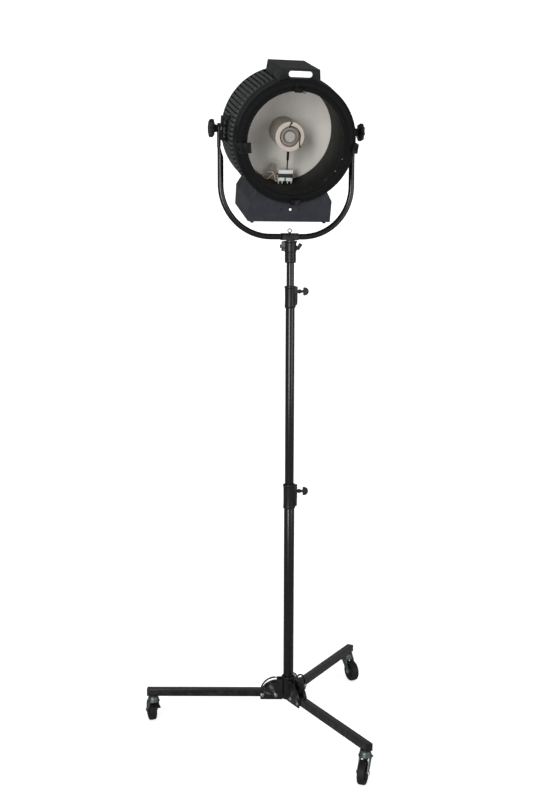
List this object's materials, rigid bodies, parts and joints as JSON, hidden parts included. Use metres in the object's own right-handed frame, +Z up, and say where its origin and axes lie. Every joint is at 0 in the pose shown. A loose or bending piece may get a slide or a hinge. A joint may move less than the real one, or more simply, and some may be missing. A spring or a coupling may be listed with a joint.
{
  "type": "par can light",
  "caption": "Round stage flood light with a fin-sided drum, top hood and lower power box, in a bent-tube yoke on a rolling telescopic three-leg stand.",
  "frame": {"origin": "on the floor under the axis of the stand's column", "axes": "+Z up along the column; -Y is the way the lamp faces; +X runs along the lamp's tilt axis"},
  "size_m": [0.8304, 0.8865, 2.2345],
  "materials": {
    "satin_head": "painted, satin dark grey-green",
    "front_ring": "painted, satin near-black",
    "inner_wall": "matt dark brown-black",
    "reflector": "brushed and anodised, half bright",
    "sleeve": "spun, bright edge",
    "lamp_glass": "clear with frosted end",
    "lamp_ceramic": "matt",
    "spring_steel": "heat darkened",
    "wire": "braided sleeve over copper",
    "cover": "painted, fine texture",
    "box_paint": "painted, slate grey satin",
    "core": "laminated core, varnished",
    "black_plastic": "moulded, fine grain",
    "switch_red": "moulded gloss",
    "stand_paint": "painted, satin charcoal",
    "casting": "die cast, black",
    "bolt": "zinc bright",
    "zinc": "zinc plated, dull",
    "wheel_rubber": "moulded tread"
  },
  "bodies": {
    "base": {"hub": "casting", "lower_tube": "stand_paint", "collar_2": "casting", "collar_2_bolt": "bolt"},
    "lower_clamp_knob": {"t_knob_2": "black_plastic"},
    "mid_mast": {"mid_tube": "stand_paint", "collar_1": "casting", "collar_1_bolt": "bolt"},
    "upper_clamp_knob": {"t_knob_1": "black_plastic"},
    "top_mast": {"upper_tube": "stand_paint", "socket": "casting", "socket_bolt": "bolt"},
    "spigot_lever": {"socket_lever": "black_plastic"},
    "yoke_frame": {"spigot": "casting", "saddle": "casting", "safety_eye": "bolt", "yoke": "stand_paint"},
    "head": {"drum": "satin_head", "bezel": "front_ring", "barrel": "inner_wall", "reflector": "reflector", "lamp_sleeve": "sleeve", "lamp": "lamp_glass", "lamp_socket": "lamp_ceramic", "lamp_spring": "spring_steel", "post": "spring_steel", "terminal_block": "lamp_ceramic", "terminal_legs": "spring_steel", "lead_wires": "wire", "bulkhead": "cover", "rear_cover": "cover", "hood": "cover", "box": "box_paint", "box_base": "core", "box_fittings": "black_plastic", "brackets": "front_ring", "tilt_bolts": "bolt", "clips": "front_ring"},
    "power_switch": {"rocker": "switch_red"},
    "top_latch": {"latch": "front_ring"},
    "left_tilt_knob": {"tilt_knob_left": "black_plastic"},
    "right_tilt_knob": {"tilt_knob_right": "black_plastic"},
    "front_leg": {"leg_front": "stand_paint", "leg_plug_front": "black_plastic", "leg_bolts_front": "bolt"},
    "front_fork": {"fork_front": "zinc"},
    "front_wheel": {"wheel_front": "wheel_rubber"},
    "front_brake": {"pedal_front": "black_plastic"},
    "left_leg": {"leg_left": "stand_paint", "leg_plug_left": "black_plastic", "leg_bolts_left": "bolt"},
    "left_fork": {"fork_left": "zinc"},
    "left_wheel": {"wheel_left": "wheel_rubber"},
    "left_brake": {"pedal_left": "black_plastic"},
    "rear_leg": {"leg_rear": "stand_paint", "leg_plug_rear": "black_plastic", "leg_bolts_rear": "bolt"},
    "rear_fork": {"fork_rear": "zinc"},
    "rear_wheel": {"wheel_rear": "wheel_rubber"},
    "rear_brake": {"pedal_rear": "black_plastic"}
  },
  "joints": [
    {"name": "lower_clamp_turn", "type": "hinge", "parent": "base", "child": "lower_clamp_knob", "pos_m": [0, 0, 0.824], "axis": [0.9703, -0.2419, 0], "range_deg": [-30, 330]},
    {"name": "mid_mast_slide", "type": "slide", "parent": "base", "child": "mid_mast", "axis": [0, 0, 1], "range_m": [-0.59, 0]},
    {"name": "upper_clamp_turn", "type": "hinge", "parent": "mid_mast", "child": "upper_clamp_knob", "pos_m": [0, 0, 1.495], "axis": [0.9703, -0.2419, 0], "range_deg": [-30, 330]},
    {"name": "top_mast_slide", "type": "slide", "parent": "mid_mast", "child": "top_mast", "axis": [0, 0, 1], "range_m": [-0.07, 0.475]},
    {"name": "spigot_lever_turn", "type": "hinge", "parent": "top_mast", "child": "spigot_lever", "pos_m": [0, 0, 1.636], "axis": [0.9703, -0.2419, 0], "range_deg": [-60, 60]},
    {"name": "yoke_pan", "type": "hinge", "parent": "top_mast", "child": "yoke_frame", "pos_m": [0, 0, 1.64], "axis": [0, 0, 1], "continuous": true},
    {"name": "head_tilt", "type": "hinge", "parent": "yoke_frame", "child": "head", "pos_m": [-0.013, 0, 2.012], "axis": [1, 0, 0], "range_deg": [-107, 73]},
    {"name": "left_tilt_knob_turn", "type": "hinge", "parent": "head", "child": "left_tilt_knob", "pos_m": [-0.013, 0, 2.012], "axis": [1, 0, 0], "range_deg": [-30, 330]},
    {"name": "right_tilt_knob_turn", "type": "hinge", "parent": "head", "child": "right_tilt_knob", "pos_m": [-0.013, 0, 2.012], "axis": [1, 0, 0], "range_deg": [-30, 330]},
    {"name": "power_switch_rock", "type": "hinge", "parent": "head", "child": "power_switch", "pos_m": [-0.071, 0.17154, 1.81348], "axis": [0, -0.2924, 0.9563], "range_deg": [-16, 0]},
    {"name": "top_latch_swing", "type": "hinge", "parent": "head", "child": "top_latch", "pos_m": [-0.027, -0.17492, 2.12583], "axis": [0, -0.9563, -0.2924], "range_deg": [0, 75]},
    {"name": "front_leg_fold", "type": "hinge", "parent": "base", "child": "front_leg", "pos_m": [0.01243, -0.04117, 0.107], "axis": [-0.9573, -0.289, 0], "range_deg": [0, 90]},
    {"name": "front_caster_swivel", "type": "hinge", "parent": "front_leg", "child": "front_fork", "pos_m": [0.13527, -0.44803, 0.09], "axis": [0, 0, 1], "continuous": true},
    {"name": "front_wheel_spin", "type": "hinge", "parent": "front_fork", "child": "front_wheel", "pos_m": [0.12043, -0.47177, 0.037], "axis": [0.848, -0.5299, 0], "continuous": true},
    {"name": "front_brake_press", "type": "hinge", "parent": "front_fork", "child": "front_brake", "pos_m": [0.13845, -0.44294, 0.0715], "axis": [-0.848, 0.5299, 0], "range_deg": [0, 20]},
    {"name": "left_leg_fold", "type": "hinge", "parent": "base", "child": "left_leg", "pos_m": [-0.04186, 0.00982, 0.107], "axis": [0.2284, 0.9736, 0], "range_deg": [0, 90]},
    {"name": "left_caster_swivel", "type": "hinge", "parent": "left_leg", "child": "left_fork", "pos_m": [-0.45564, 0.10687, 0.09], "axis": [0, 0, 1], "continuous": true},
    {"name": "left_wheel_spin", "type": "hinge", "parent": "left_fork", "child": "left_wheel", "pos_m": [-0.45856, 0.13472, 0.037], "axis": [-0.9945, -0.1045, 0], "continuous": true},
    {"name": "left_brake_press", "type": "hinge", "parent": "left_fork", "child": "left_brake", "pos_m": [-0.45501, 0.1009, 0.0715], "axis": [0.9945, 0.1045, 0], "range_deg": [0, 20]},
    {"name": "rear_leg_fold", "type": "hinge", "parent": "base", "child": "rear_leg", "pos_m": [0.02944, 0.03135, 0.107], "axis": [0.729, -0.6845, 0], "range_deg": [0, 90]},
    {"name": "rear_caster_swivel", "type": "hinge", "parent": "rear_leg", "child": "rear_fork", "pos_m": [0.32037, 0.34116, 0.09], "axis": [0, 0, 1], "continuous": true},
    {"name": "rear_wheel_spin", "type": "hinge", "parent": "rear_fork", "child": "rear_wheel", "pos_m": [0.32714, 0.31399, 0.037], "axis": [0.9703, 0.2419, 0], "continuous": true},
    {"name": "rear_brake_press", "type": "hinge", "parent": "rear_fork", "child": "rear_brake", "pos_m": [0.31892, 0.34698, 0.0715], "axis": [-0.9703, -0.2419, 0], "range_deg": [0, 20]}
  ]
}
